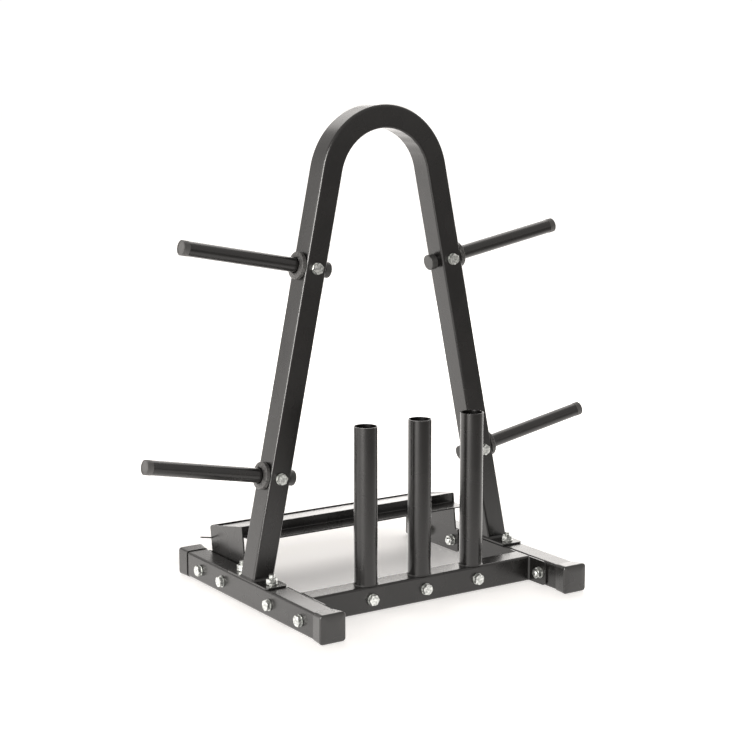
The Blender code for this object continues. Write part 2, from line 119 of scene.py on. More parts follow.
def choose_edges(piece, test):
    """Goes to edit mode with only the edges selected whose middle and direction pass a test."""
    pick(piece)
    bpy.ops.object.mode_set(mode="EDIT")
    bpy.ops.mesh.select_mode(type="EDGE")
    bpy.ops.mesh.select_all(action="DESELECT")
    shape = bmesh.from_edit_mesh(piece.data)
    for edge in shape.edges:
        start, end = (vertex.co for vertex in edge.verts)
        if test((start + end) / 2, (end - start).normalized()):
            edge.select_set(True)
    bmesh.update_edit_mesh(piece.data)


def round_edges(radius, steps):
    """Bevels the selected edges."""
    bpy.ops.mesh.bevel(offset=radius, offset_type="OFFSET", segments=steps, profile=0.5,
                       affect="EDGES")


def pull_out(*move):
    """Extrudes what is selected by a move."""
    bpy.ops.mesh.extrude_region_move(TRANSFORM_OT_translate={"value": move})


def finish(piece, look, slot, *nodes):
    """Closes a piece: even shading, its finish, and the CAD nodes that it stands for."""
    freeze(piece)
    bpy.ops.object.mode_set(mode="EDIT")
    bpy.ops.mesh.select_all(action="SELECT")
    bpy.ops.mesh.normals_make_consistent(inside=False)
    bpy.ops.object.mode_set(mode="OBJECT")
    bpy.ops.object.shade_smooth_by_angle(angle=SMOOTH_BELOW)
    piece.modifiers.new("even_shading", "WEIGHTED_NORMAL").keep_sharp = True
    bpy.ops.object.modifier_apply(modifier="even_shading")
    piece.data.materials.clear()
    piece.data.materials.append(look)
    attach(piece, "root")
    if nodes:
        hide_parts(*nodes)


def copy_to(piece, name, place=(0, 0, 0), turn=(0, 0, 0)):
    """Copy of an unfinished piece with its own mesh, turned and moved to its place."""
    twin = piece.copy()
    twin.data = piece.data.copy()
    twin.name = name
    twin.data.name = name
    bpy.context.scene.collection.objects.link(twin)
    twin.location = place
    twin.rotation_euler = turn
    return twin


def discard(piece):
    """Deletes a pattern once its copies are made."""
    bpy.data.objects.remove(piece, do_unlink=True)


def finish_look(name, dark, light, roughness, spread, grain, bump, metallic=0.0, specular=0.5,
                clouds=22):
    """Painted, moulded or plated surface: cloudy colour and gloss, and a fine grain in relief."""
    look = bpy.data.materials.new(name)
    look.use_nodes = True
    tree = look.node_tree
    shader = tree.nodes["Principled BSDF"]
    shader.inputs["Metallic"].default_value = metallic
    shader.inputs["Specular IOR Level"].default_value = specular
    place = tree.nodes.new("ShaderNodeTexCoord")
    cloud = tree.nodes.new("ShaderNodeTexNoise")
    cloud.inputs["Scale"].default_value = clouds
    cloud.inputs["Detail"].default_value = 1
    tree.links.new(place.outputs["Object"], cloud.inputs["Vector"])
    tint = tree.nodes.new("ShaderNodeValToRGB")
    for stop, position, colour in zip(tint.color_ramp.elements, (0.35, 0.65), (dark, light)):
        stop.position = position
        stop.color = (*colour, 1)
    tree.links.new(cloud.outputs["Fac"], tint.inputs["Fac"])
    tree.links.new(tint.outputs["Color"], shader.inputs["Base Color"])
    gloss = tree.nodes.new("ShaderNodeMapRange")
    gloss.inputs["To Min"].default_value = roughness - spread
    gloss.inputs["To Max"].default_value = roughness + spread
    tree.links.new(cloud.outputs["Fac"], gloss.inputs["Value"])
    tree.links.new(gloss.outputs["Result"], shader.inputs["Roughness"])
    peel = tree.nodes.new("ShaderNodeTexNoise")
    peel.inputs["Scale"].default_value = grain
    peel.inputs["Detail"].default_value = 2
    tree.links.new(place.outputs["Object"], peel.inputs["Vector"])
    relief = tree.nodes.new("ShaderNodeBump")
    relief.inputs["Strength"].default_value = bump
    relief.inputs["Distance"].default_value = 0.0002
    tree.links.new(peel.outputs["Fac"], relief.inputs["Height"])
    tree.links.new(relief.outputs["Normal"], shader.inputs["Normal"])
    return look


powder_coat = finish_look(
    "satin_black_powder_coat", dark=(0.0085, 0.0079, 0.0075), light=(0.0120, 0.0112, 0.0106),
    roughness=0.27, spread=0.03, grain=1400, bump=0.012, specular=0.42)


def straight_tube(name, axis, half_length, centre):
    """Straight rectangular tube with rounded corners, open at both ends."""
    def in_bore(middle):
        """Whether a face's middle is on the tube's centre line, as only the bore's ends are."""
        return all(abs(middle[other] - centre[other]) < TUBE_WIDTH / 8
                   for other in range(3) if other != axis)

    size = [TUBE_WIDTH, TUBE_WIDTH, TUBE_DEPTH]
    size[axis] = 2 * half_length
    tube = block(name, size, centre)
    choose_edges(tube, lambda middle, along: abs(along[axis]) > ALONG)
    round_edges(TUBE_CORNER, TUBE_CORNER_STEPS)
    choose_faces(tube, lambda middle, normal: abs(normal[axis]) > ALONG)
    bpy.ops.mesh.inset(thickness=TUBE_WALL)
    choose_faces(tube, lambda middle, normal: abs(normal[axis]) > ALONG and in_bore(middle))
    bpy.ops.mesh.bridge_edge_loops()
    return tube


for side, sign in SIDES.items():
    foot = straight_tube(f"{side}_foot_tube", 1, FOOT_HALF_LENGTH, (sign * FOOT_X, 0, TUBE_MIDDLE))
    finish(foot, powder_coat, "black_powder_coat", f"foot_{side}")


# Foot caps: moulded dark grey plastic sleeves pushed over the ends of the feet. They widen and rise
# towards a slightly swollen end face, and the rack stands on the sleeves' lower sides.
CAP_WALL = 0.0012
CAP_LENGTH = 0.028
CAP_END = 0.006            # thickness of the closed end
CAP_FLARE = 0.0032         # how far the end stands out at each side
CAP_RISE = 0.002
CAP_CORNER = 0.0060
CAP_CORNER_STEPS = 7
CAP_END_ROUND = 0.0038
CAP_END_ROUND_STEPS = 6
CAP_SWELL = ((0.78, 0.0007), (0.62, 0.0004))  # share of the end face's size, and its height
cap_plastic = finish_look(
    "moulded_dark_grey_plastic", dark=(0.017, 0.0164, 0.0157), light=(0.026, 0.025, 0.024),
    roughness=0.28, spread=0.05, grain=1500, bump=0.12)
cap_width = TUBE_WIDTH + 2 * (GAP + CAP_WALL)
cap_depth = TUBE_DEPTH + 2 * (GAP + CAP_WALL)
cap_back = FOOT_HALF_LENGTH + GAP + CAP_END - CAP_LENGTH
cap_front = cap_back + CAP_LENGTH - sum(swell for share, swell in CAP_SWELL)
cap = block("cap_pattern", (cap_width, cap_front - cap_back, cap_depth),
            (0, (cap_front + cap_back) / 2, TUBE_MIDDLE))
choose_faces(cap, lambda middle, normal: normal.y > ALONG)
bpy.ops.transform.resize(value=(1 + 2 * CAP_FLARE / cap_width, 1, 1 + CAP_RISE / cap_depth))
bpy.ops.transform.translate(value=(0, 0, CAP_RISE / 2))
choose_edges(cap, lambda middle, along: abs(along.y) > ALONG)
round_edges(CAP_CORNER, CAP_CORNER_STEPS)
choose_edges(cap, lambda middle, along: middle.y > cap_front - TOUCH)
round_edges(CAP_END_ROUND, CAP_END_ROUND_STEPS)
choose_faces(cap, lambda middle, normal: normal.y > SQUARE)
for share, swell in CAP_SWELL:
    pull_out(0, swell, 0)
    bpy.ops.transform.resize(value=(share, 1, share))
choose_faces(cap, lambda middle, normal: normal.y < -ALONG)
bpy.ops.mesh.inset(thickness=CAP_WALL)
pull_out(0, CAP_LENGTH - CAP_END, 0)
for side, sign in SIDES.items():
    for end, turn in (("front", math.pi), ("back", 0)):
        twin = copy_to(cap, f"{side}_foot_{end}_cap", (sign * FOOT_X, 0, 0), (0, 0, turn))
        finish(twin, cap_plastic, "dark_grey_plastic", f"foot_cap_{side}_{end}")
discard(cap)


# Upright: one length of the same tube, bent into an arch with two splayed legs. The bend has
# puckered its inner wall slightly. Each leg is welded all round to its base plate.
SPLAY = math.radians(11.7707)
ARCH_RADIUS = 0.108
ARCH_CENTRE_HEIGHT = 0.712
ARCH_TURN = math.pi - 2 * SPLAY
ARCH_STEPS = 64
LEG_RUN = 0.72             # the legs are pulled out this far, then cut level
LEG_BOTTOM = 0.0501
WRINKLES = {8: -0.0005, 11: 0.0004, 14: -0.0006, 17: 0.0005, 20: -0.0004, 23: 0.0003}


def around_arch(turn):
    """Direction from the arch's centre at an angle along the bend."""
    return Vector((math.cos(turn), 0, math.sin(turn)))


deselect()
bpy.ops.mesh.primitive_plane_add(size=1, location=(ARCH_RADIUS, 0, 0))
arch = bpy.context.object
arch.name = "bent_upright"
arch.scale = (TUBE_WIDTH, TUBE_DEPTH, 1)
freeze(arch)
bpy.ops.object.mode_set(mode="EDIT")
bpy.ops.mesh.select_all(action="SELECT")
bpy.ops.mesh.bevel(offset=TUBE_CORNER, offset_type="OFFSET", segments=TUBE_CORNER_STEPS,
                   profile=0.5, affect="VERTICES")
bpy.ops.mesh.select_all(action="SELECT")
bpy.ops.mesh.spin(steps=ARCH_STEPS, angle=ARCH_TURN, center=(0, 0, 0), axis=(0, 1, 0), dupli=False)
for number, height in WRINKLES.items():
    for step in (number, ARCH_STEPS - number):
        outward = around_arch(step * ARCH_TURN / ARCH_STEPS)
        crest = outward * (ARCH_RADIUS - TUBE_WIDTH / 2)
        choose_edges(arch, lambda middle, along: abs(along.y) > SQUARE
                     and (middle - crest).length < NEAR)
        bpy.ops.transform.translate(value=tuple(outward * height))
choose_faces(arch, lambda middle, normal: abs(normal.z) > SQUARE and abs(middle.z) < NEAR)
pull_out(0, 0, -LEG_RUN)
arch_end = around_arch(ARCH_TURN)
down_leg = Vector((-arch_end.z, 0, arch_end.x))
choose_faces(arch, lambda middle, normal: abs(normal.dot(down_leg)) > SQUARE
             and (middle - arch_end * ARCH_RADIUS).length < NEAR)
pull_out(*(down_leg * LEG_RUN))
pick(arch)
arch.rotation_euler = (0, -SPLAY, 0)
arch.location = (0, 0, ARCH_CENTRE_HEIGHT)
freeze(arch)
bpy.ops.object.mode_set(mode="EDIT")
bpy.ops.mesh.select_all(action="SELECT")
bpy.ops.mesh.bisect(plane_co=(0, 0, LEG_BOTTOM), plane_no=(0, 0, 1), use_fill=True,
                    clear_inner=True)
finish(arch, powder_coat, "black_powder_coat", "upright")


# Base plates: 3 mm steel, 42 x 137 mm with round corners, one under each leg. A weld bead runs
# round the leg, and a bolt from inside the foot holds each end.
BASE_PLATE = (0.042, 0.137, 0.003)
BASE_CORNER = 0.007
BASE_CORNER_STEPS = 8
BASE_BOLT_REACH = 0.050    # middle of the plate to each bolt
BASE_TOP = TUBE_TOP + GAP + BASE_PLATE[2]
EDGE_ROUND = 0.0005
EDGE_ROUND_STEPS = 2
WELD_FOOT = 0.0028         # how far the bead's foot stands out from the tube, and its top
WELD_CREST = 0.0002
WELD_HEIGHT = 0.0034
WELD_MIDDLE = 0.0014       # above the leg's lower end
WELD_CORNER = 0.0058
WELD_CORNER_STEPS = 6
leg_half_x = TUBE_WIDTH / 2 / math.cos(SPLAY)
leg_half_y = TUBE_DEPTH / 2
base = block("base_pattern", BASE_PLATE, (0, 0, BASE_TOP - BASE_PLATE[2] / 2))
choose_edges(base, lambda middle, along: abs(along.z) > ALONG)
round_edges(BASE_CORNER, BASE_CORNER_STEPS)
choose_edges(base, lambda middle, along: middle.z > BASE_TOP - TOUCH)
round_edges(EDGE_ROUND, EDGE_ROUND_STEPS)
bead = block("bead_pattern",
             (2 * (leg_half_x + WELD_FOOT), 2 * (leg_half_y + WELD_FOOT), WELD_HEIGHT),
             (0, 0, LEG_BOTTOM + WELD_MIDDLE))
choose_edges(bead, lambda middle, along: abs(along.z) > ALONG)
round_edges(WELD_CORNER, WELD_CORNER_STEPS)
choose_faces(bead, lambda middle, normal: normal.z > ALONG)
bpy.ops.transform.resize(value=((leg_half_x + WELD_CREST) / (leg_half_x + WELD_FOOT),
                                (leg_half_y + WELD_CREST) / (leg_half_y + WELD_FOOT), 1))
weld_look = finish_look(
    "painted_weld_bead", dark=(0.017, 0.0165, 0.016), light=(0.028, 0.027, 0.026),
    roughness=0.38, spread=0.08, grain=420, bump=0.7, specular=0.4)
for side, sign in SIDES.items():
    twin = copy_to(base, f"{side}_base_plate", (sign * FOOT_X, 0, 0))
    finish(twin, powder_coat, "black_powder_coat", f"base_plate_{side}")
    twin = copy_to(bead, f"{side}_leg_weld", (sign * FOOT_X, 0, 0))
    finish(twin, weld_look, "black_powder_coat")
discard(base)
discard(bead)


# Bolts: zinc-plated M10 hexagon bolts with washers and nuts, all over the rack. Heads and nuts have
# turned corners, and the ends that stand out of the nuts are threaded.
M10 = {"radius": 0.005, "washer_radius": 0.010, "washer": 0.0020, "across": 0.017, "head": 0.0064,
       "nut": 0.0080, "stick_out": 0.004, "pitch": 0.0015}
BOLT_SIDES = 24
TURNED_SHARE = 0.94        # of a head's width across its flats, left flat by the turning
THREAD_ROOT = 0.86         # thread's root radius, as a share of its outer radius
THREAD_LEAD = 0.0005       # plain length before the first turn
WASHER_ROUND = 0.0003
BASE_STICK_OUT = 0.007
BASE_SHANK_SINK = 0.001    # into the head
BASE_HEAD_SIDES = 32
zinc = finish_look(
    "bright_zinc_plating", dark=(0.27, 0.28, 0.27), light=(0.62, 0.63, 0.61),
    roughness=0.33, spread=0.10, grain=520, bump=0.6, metallic=1.0, clouds=260)


def hexagon(name, across, bottom, height, outward):
    """Hexagon head or nut with its outer corners turned to a cone; outward is 1 up or -1 down."""
    half = across / 2
    flat = TURNED_SHARE * half
    piece = round_bar(name, half / math.cos(math.pi / 6), 0, height, sides=6)
    deselect()
    bpy.ops.mesh.primitive_cone_add(vertices=48, radius1=flat + height / math.tan(math.pi / 6),
                                    radius2=flat, depth=height, location=(0, 0, height / 2))
    cone = bpy.context.object
    pick(piece)
    turn = piece.modifiers.new("turned_corners", "BOOLEAN")
    turn.operation = "INTERSECT"
    turn.solver = "EXACT"
    turn.object = cone
    bpy.ops.object.modifier_apply(modifier="turned_corners")
    discard(cone)
    if outward < 0:
        piece.rotation_euler = (math.pi, 0, 0)
    piece.location = (0, 0, bottom)
    freeze(piece)
    return piece


def washer(name, thread, bottom, top):
    """Plain washer between two heights, with its edges rounded."""
    piece = round_bar(name, thread["washer_radius"], bottom, top)
    choose_edges(piece, lambda middle, along: abs(along.z) < ACROSS)
    round_edges(WASHER_ROUND, EDGE_ROUND_STEPS)
    bpy.ops.object.mode_set(mode="OBJECT")
    return piece


def threaded_end(name, thread, start, reach):
    """Threaded end from a height up by a reach, or down where the reach is negative."""
    way = 1 if reach > 0 else -1
    first = start + way * THREAD_LEAD
    piece = round_bar(name, thread["radius"] * THREAD_ROOT, min(start, first), max(start, first),
                      BOLT_SIDES)
    choose_faces(piece, lambda middle, normal: normal.z * way > ALONG)
    for turn in range(int((abs(reach) - THREAD_LEAD) / thread["pitch"])):
        for share in (1 / THREAD_ROOT, THREAD_ROOT):
            pull_out(0, 0, way * thread["pitch"] / 2)
            bpy.ops.transform.resize(value=(share, share, 1))
    bpy.ops.object.mode_set(mode="OBJECT")
    return piece


def join(pieces, name):
    """Makes several pieces one."""
    deselect()
    for piece in pieces:
        piece.select_set(True)
    bpy.context.view_layer.objects.active = pieces[0]
    bpy.ops.object.join()
    pieces[0].name = name
    pieces[0].data.name = name
    return pieces[0]


def through_bolt(name, thread, grip):
    """Bolt through parts of a total thickness: the nut's seat at Z = 0, the head's at the grip."""
    under_nut = -GAP - thread["washer"]
    over_head = grip + GAP + thread["washer"]
    return join([
        round_bar(f"{name}_shank", thread["radius"], under_nut, over_head, BOLT_SIDES),
        washer(f"{name}_nut_washer", thread, under_nut, -GAP),
        hexagon(f"{name}_nut", thread["across"], under_nut, thread["nut"], -1),
        threaded_end(f"{name}_end", thread, under_nut - thread["nut"], -thread["stick_out"]),
        washer(f"{name}_head_washer", thread, grip + GAP, over_head),
        hexagon(f"{name}_head", thread["across"], over_head, thread["head"], 1),
    ], name)


def bolt_turn(axis, angle, spin):
    """Turn of a bolt that is laid down about an axis, and spun about itself before that."""
    return (Matrix.Rotation(angle, 4, axis) @ Matrix.Rotation(spin, 4, "Z")).to_euler()


base_grip = TUBE_WALL + GAP + BASE_PLATE[2]
nut_seat = base_grip + GAP + M10["washer"]
base_bolt = join([
    round_bar("base_bolt_shank", M10["radius"], -BASE_SHANK_SINK, nut_seat, BOLT_SIDES),
    round_bar("base_bolt_head", M10["across"] / 2, -GAP - M10["head"] / 2, -GAP, BASE_HEAD_SIDES),
    washer("base_bolt_washer", M10, base_grip + GAP, nut_seat),
    hexagon("base_bolt_nut", M10["across"], nut_seat, M10["nut"], 1),
    threaded_end("base_bolt_end", M10, nut_seat + M10["nut"], BASE_STICK_OUT),
], "base_bolt_pattern")
for side, sign in SIDES.items():
    for end, y, spin in (("front", -BASE_BOLT_REACH, 0.3), ("back", BASE_BOLT_REACH, 0.9)):
        twin = copy_to(base_bolt, f"{side}_base_{end}_bolt",
                       (sign * FOOT_X, y, TUBE_TOP - TUBE_WALL), (0, 0, spin))
        finish(twin, zinc, "zinc_plated_steel", f"base_bolt_{side}_{end}")
discard(base_bolt)


# Plate pegs: 25 mm steel tubes that pass through the legs and rise outwards by about 11 degrees.
# Each has a thick pressed collar against the leg, a flat plastic plug in its tip and a plastic cap
# on its inner end.
PEG_HEIGHTS = {"upper": 0.5704, "lower": 0.220}
PEG_TILT = math.radians(10.9)
PEG_RADIUS = 0.0125
PEG_WALL = 0.002
PEG_SIDES = 64
PEG_REACH = 0.2457         # leg's centre line to the tip
PEG_STUB = 0.037           # leg's centre line to the inner end
COLLAR_RADIUS = 0.0235
COLLAR_THICKNESS = 0.008
COLLAR_START = TUBE_WIDTH / 2 + 0.00066
COLLAR_ROUND = 0.0014
COLLAR_BORE = PEG_RADIUS + 0.0009
PLUG_FLANGE = 0.0012
PLUG_ROUND = 0.0011
PLUG_RIM = 0.0012          # width of the rim round the plug's sunk face
PLUG_DISH = 0.0003
PLUG_DEPTH = 0.011         # into the peg
PLUG_SLACK = 0.0001
STUB_CAP_WALL = 0.0008
STUB_CAP_END = 0.002
STUB_CAP_LENGTH = 0.012
STUB_CAP_ROUND = 0.0016
PEG_ROUND_STEPS = 4
peg_end = PEG_REACH - PLUG_FLANGE - GAP
peg = round_bar("peg_pattern", PEG_RADIUS, -PEG_STUB + STUB_CAP_END + GAP, peg_end, PEG_SIDES)
choose_faces(peg, lambda middle, normal: abs(normal.z) > ALONG)
bpy.ops.mesh.inset(thickness=PEG_WALL)
choose_faces(peg, lambda middle, normal: abs(normal.z) > ALONG
             and math.hypot(middle.x, middle.y) < NEAR)
bpy.ops.mesh.bridge_edge_loops()
collar = round_bar("collar_pattern", COLLAR_RADIUS, COLLAR_START, COLLAR_START + COLLAR_THICKNESS,
                   PEG_SIDES)
choose_edges(collar, lambda middle, along: abs(along.z) < ACROSS)
round_edges(COLLAR_ROUND, PEG_ROUND_STEPS)
choose_faces(collar, lambda middle, normal: abs(normal.z) > ALONG)
bpy.ops.mesh.inset(thickness=COLLAR_RADIUS - COLLAR_ROUND - COLLAR_BORE)
choose_faces(collar, lambda middle, normal: abs(normal.z) > ALONG
             and math.hypot(middle.x, middle.y) < NEAR)
bpy.ops.mesh.bridge_edge_loops()
tip = round_bar("tip_pattern", PEG_RADIUS, peg_end + GAP, PEG_REACH, PEG_SIDES)
choose_edges(tip, lambda middle, along: abs(along.z) < ACROSS and middle.z > PEG_REACH - TOUCH)
round_edges(PLUG_ROUND, PEG_ROUND_STEPS)
choose_faces(tip, lambda middle, normal: normal.z > ALONG)
bpy.ops.mesh.inset(thickness=PLUG_RIM)
pull_out(0, 0, -PLUG_DISH)
choose_faces(tip, lambda middle, normal: normal.z < -ALONG)
bpy.ops.mesh.inset(thickness=PEG_WALL + PLUG_SLACK)
pull_out(0, 0, -PLUG_DEPTH)
stub = round_bar("stub_pattern", PEG_RADIUS + GAP + STUB_CAP_WALL, -PEG_STUB,
                 -PEG_STUB + STUB_CAP_LENGTH, PEG_SIDES)
choose_edges(stub, lambda middle, along: abs(along.z) < ACROSS and middle.z < -PEG_STUB + NEAR)
round_edges(STUB_CAP_ROUND, PEG_ROUND_STEPS)
choose_faces(stub, lambda middle, normal: normal.z > ALONG)
bpy.ops.mesh.inset(thickness=STUB_CAP_WALL)
pull_out(0, 0, STUB_CAP_END - STUB_CAP_LENGTH)
tip_plastic = finish_look(
    "grey_plug_plastic", dark=(0.060, 0.058, 0.056), light=(0.092, 0.089, 0.086),
    roughness=0.6, spread=0.08, grain=700, bump=0.4)
stub_plastic = finish_look(
    "dark_cap_plastic", dark=(0.030, 0.0290, 0.0280), light=(0.045, 0.0435, 0.0420),
    roughness=0.5, spread=0.06, grain=1200, bump=0.3)
collar_coat = finish_look(
    "coarse_black_powder_coat", dark=(0.016, 0.0155, 0.015), light=(0.115, 0.111, 0.107),
    roughness=0.5, spread=0.08, grain=300, bump=1.0, specular=0.45, clouds=420)
peg_bolt = through_bolt("peg_bolt_pattern", M10, TUBE_DEPTH)
peg_parts = (
    (peg, "tube", "peg", powder_coat, "black_powder_coat"),
    (collar, "collar", "peg_collar", collar_coat, "black_powder_coat"),
    (tip, "tip_plug", "peg_tip_cap", tip_plastic, "grey_plastic"),
    (stub, "stub_cap", "peg_stub_cap", stub_plastic, "grey_plastic"),
)


def leg_x(height):
    """Distance of a leg's centre line from the middle plane at a height."""
    return (ARCH_RADIUS + (ARCH_CENTRE_HEIGHT - height) * math.sin(SPLAY)) / math.cos(SPLAY)


for number, (level, height) in enumerate(PEG_HEIGHTS.items()):
    for side, sign in SIDES.items():
        spot = (sign * leg_x(height), 0, height)
        for pattern, label, node, look, slot in peg_parts:
            twin = copy_to(pattern, f"{level}_{side}_peg_{label}", spot,
                           (0, sign * (math.pi / 2 - PEG_TILT), 0))
            finish(twin, look, slot, f"{node}_{level}_{side}")
        twin = copy_to(peg_bolt, f"{level}_{side}_peg_bolt", (spot[0], TUBE_DEPTH / 2, height),
                       bolt_turn("X", math.pi / 2, 0.4 + number + sign * 0.7))
        finish(twin, zinc, "zinc_plated_steel", f"peg_bolt_{level}_{side}")
for pattern in (peg, collar, tip, stub, peg_bolt):
    discard(pattern)


# Crossbar: a length of the same tube between the feet near the front, welded at each end to a 3 mm
# plate. Two M10 bolts through each foot hold the plates.
CROSSBAR_Y = -0.1245
FOOT_INNER_X = FOOT_X - TUBE_WIDTH / 2
END_PLATE = (0.003, 0.132, 0.043)
END_PLATE_X = FOOT_INNER_X - GAP - END_PLATE[0]
END_PLATE_CORNER = 0.009
END_PLATE_CORNER_STEPS = 8
END_WELD = 0.003           # the bead's length along the crossbar
END_WELD_MIDDLE = 0.0014   # from the plate
END_WELD_FOOT = 0.0044     # wider than the tube, both sides together
END_WELD_CREST = 0.999     # its narrow end's share of the tube's depth
CROSS_BOLT_REACH = 0.050   # crossbar's centre line to each bolt
bar = straight_tube("crossbar_tube", 0, END_PLATE_X - GAP, (0, CROSSBAR_Y, TUBE_MIDDLE))
finish(bar, powder_coat, "black_powder_coat", "crossbar")
end_plate = block("end_plate_pattern", END_PLATE,
                  (END_PLATE_X + END_PLATE[0] / 2, CROSSBAR_Y, TUBE_MIDDLE))
choose_edges(end_plate, lambda middle, along: abs(along.x) > ALONG)
round_edges(END_PLATE_CORNER, END_PLATE_CORNER_STEPS)
choose_edges(end_plate, lambda middle, along: middle.x < END_PLATE_X + TOUCH)
round_edges(EDGE_ROUND, EDGE_ROUND_STEPS)
end_weld = block("end_weld_pattern", (END_WELD, TUBE_WIDTH + END_WELD_FOOT, TUBE_DEPTH),
                 (END_PLATE_X - END_WELD_MIDDLE, CROSSBAR_Y, TUBE_MIDDLE))
choose_edges(end_weld, lambda middle, along: abs(along.x) > ALONG)
round_edges(WELD_CORNER, WELD_CORNER_STEPS)
choose_faces(end_weld, lambda middle, normal: normal.x < -ALONG)
bpy.ops.transform.resize(value=(1, TUBE_WIDTH / (TUBE_WIDTH + END_WELD_FOOT), END_WELD_CREST))
cross_bolt = through_bolt("cross_bolt_pattern", M10, END_PLATE[0] + TUBE_WIDTH + GAP)
for side, sign in SIDES.items():
    turn = (0, 0, 0 if sign > 0 else math.pi)
    place = (0, 0 if sign > 0 else 2 * CROSSBAR_Y, 0)
    twin = copy_to(end_plate, f"crossbar_{side}_plate", place, turn)
    finish(twin, powder_coat, "black_powder_coat", f"crossbar_end_plate_{side}")
    twin = copy_to(end_weld, f"crossbar_{side}_weld", place, turn)
    finish(twin, weld_look, "black_powder_coat")
    for end, y, spin in (("front", -CROSS_BOLT_REACH, 0.2), ("back", CROSS_BOLT_REACH, 0.75)):
        twin = copy_to(cross_bolt, f"crossbar_{side}_{end}_bolt",
                       (sign * END_PLATE_X, CROSSBAR_Y + y, TUBE_MIDDLE),
                       bolt_turn("Y", sign * math.pi / 2, spin + sign * 0.3))
        finish(twin, zinc, "zinc_plated_steel", f"crossbar_bolt_{side}_{end}")
discard(end_plate)
discard(end_weld)


# Bar holders: three 40 mm tubes with 1.5 mm walls that stand on the crossbar, open at the top with
# a finely rounded edge. A bolt through the crossbar holds each one, and a bead runs round its foot.
HOLDER_SPACING = 0.1095
HOLDER_RADIUS = 0.020
HOLDER_WALL = 0.0015
HOLDER_TOP = 0.3165
HOLDER_FLOOR = 0.003       # thickness left at the lower end
HOLDER_SIDES = 96
RIM_ROUND = 0.0003
RIM_WELD_FOOT = 0.0014     # how far the bead stands out from the tube
RIM_WELD_SINK = 0.0001     # into the crossbar
RIM_WELD_HEIGHT = 0.0016
RIM_WELD_CREST = 0.935     # its upper side's share of its lower
holder = round_bar("holder_pattern", HOLDER_RADIUS, TUBE_TOP + GAP, HOLDER_TOP, HOLDER_SIDES)
choose_faces(holder, lambda middle, normal: normal.z > ALONG)
bpy.ops.mesh.inset(thickness=HOLDER_WALL)
pull_out(0, 0, -(HOLDER_TOP - TUBE_TOP - GAP - HOLDER_FLOOR))
choose_edges(holder, lambda middle, along: abs(along.z) < ACROSS and middle.z > HOLDER_TOP - TOUCH)
round_edges(RIM_ROUND, EDGE_ROUND_STEPS)
rim_weld = round_bar("rim_weld_pattern", HOLDER_RADIUS + RIM_WELD_FOOT,
                     TUBE_TOP - RIM_WELD_SINK, TUBE_TOP + RIM_WELD_HEIGHT, HOLDER_SIDES)
choose_faces(rim_weld, lambda middle, normal: normal.z > ALONG)
bpy.ops.transform.resize(value=(RIM_WELD_CREST, RIM_WELD_CREST, 1))
holder_bolt = through_bolt("holder_bolt_pattern", M10, TUBE_WIDTH)
for number, place in enumerate(("left", "middle", "right")):
    x = (number - 1) * HOLDER_SPACING
    twin = copy_to(holder, f"{place}_bar_tube", (x, CROSSBAR_Y, 0))
    finish(twin, powder_coat, "black_powder_coat", f"bar_holder_{place}")
    twin = copy_to(rim_weld, f"{place}_bar_tube_weld", (x, CROSSBAR_Y, 0))
    finish(twin, weld_look, "black_powder_coat")
    twin = copy_to(holder_bolt, f"{place}_bar_tube_bolt",
                   (x, CROSSBAR_Y + TUBE_WIDTH / 2, TUBE_MIDDLE),
                   bolt_turn("X", math.pi / 2, 0.5 + 0.8 * number))
    finish(twin, zinc, "zinc_plated_steel", f"holder_bolt_{place}")
for pattern in (holder, rim_weld, holder_bolt):
    discard(pattern)


# Rear shelf: 2 mm sheet bent lengthwise into a lip, a step, a panel that slopes to the rear and a
# low hem. Its ends are welded to two brackets that are bolted to the feet.
BRACKET_SHEET = 0.003
BRACKET_X = FOOT_INNER_X - GAP - BRACKET_SHEET
BRACKET_BACK = 0.212
SHELF_SHEET = 0.002
SHELF_FRONT_Y = BRACKET_BACK - 0.124
SHELF_FRONT_Z = 0.115
SHELF_BACK_Y = BRACKET_BACK - 0.008
SHELF_BACK_Z = 0.092
SHELF_HEM = 0.0025
SHELF_BEND = 0.0016
SHELF_BEND_STEPS = 4
LIP_DEPTH = 0.039
LIP_Z = 0.0975
panel_fall = SHELF_FRONT_Z - (SHELF_BACK_Z - SHELF_HEM)
panel_run = SHELF_BACK_Y - SHELF_FRONT_Y
deselect()
bpy.ops.mesh.primitive_plane_add(size=1, location=(
    0, (SHELF_FRONT_Y + SHELF_BACK_Y) / 2, (SHELF_FRONT_Z + SHELF_BACK_Z - SHELF_HEM) / 2))
shelf = bpy.context.object
shelf.name = "rear_shelf_sheet"
shelf.scale = (2 * (BRACKET_X - GAP), math.hypot(panel_run, panel_fall), 1)
shelf.rotation_euler = (-math.atan2(panel_fall, panel_run), 0, 0)
freeze(shelf)
choose_edges(shelf, lambda middle, along: abs(along.x) > ALONG and middle.y < SHELF_FRONT_Y + NEAR)
pull_out(0, 0, LIP_Z - SHELF_FRONT_Z)
pull_out(0, -LIP_DEPTH, 0)
choose_edges(shelf, lambda middle, along: abs(along.x) > ALONG and middle.y > SHELF_BACK_Y - NEAR)
pull_out(0, 0, SHELF_HEM)
choose_edges(shelf, lambda middle, along: abs(along.x) > ALONG
             and abs(middle.y - SHELF_FRONT_Y) < NEAR)
round_edges(SHELF_BEND, SHELF_BEND_STEPS)
bpy.ops.mesh.select_all(action="SELECT")
bpy.ops.mesh.normals_make_consistent(inside=False)
shelf_shape = bmesh.from_edit_mesh(shelf.data)
if sum(face.normal.z for face in shelf_shape.faces) < 0:
    bpy.ops.mesh.flip_normals()
bpy.ops.object.mode_set(mode="OBJECT")
sheet = shelf.modifiers.new("sheet", "SOLIDIFY")
sheet.thickness = SHELF_SHEET
sheet.offset = -1
sheet.use_even_offset = True
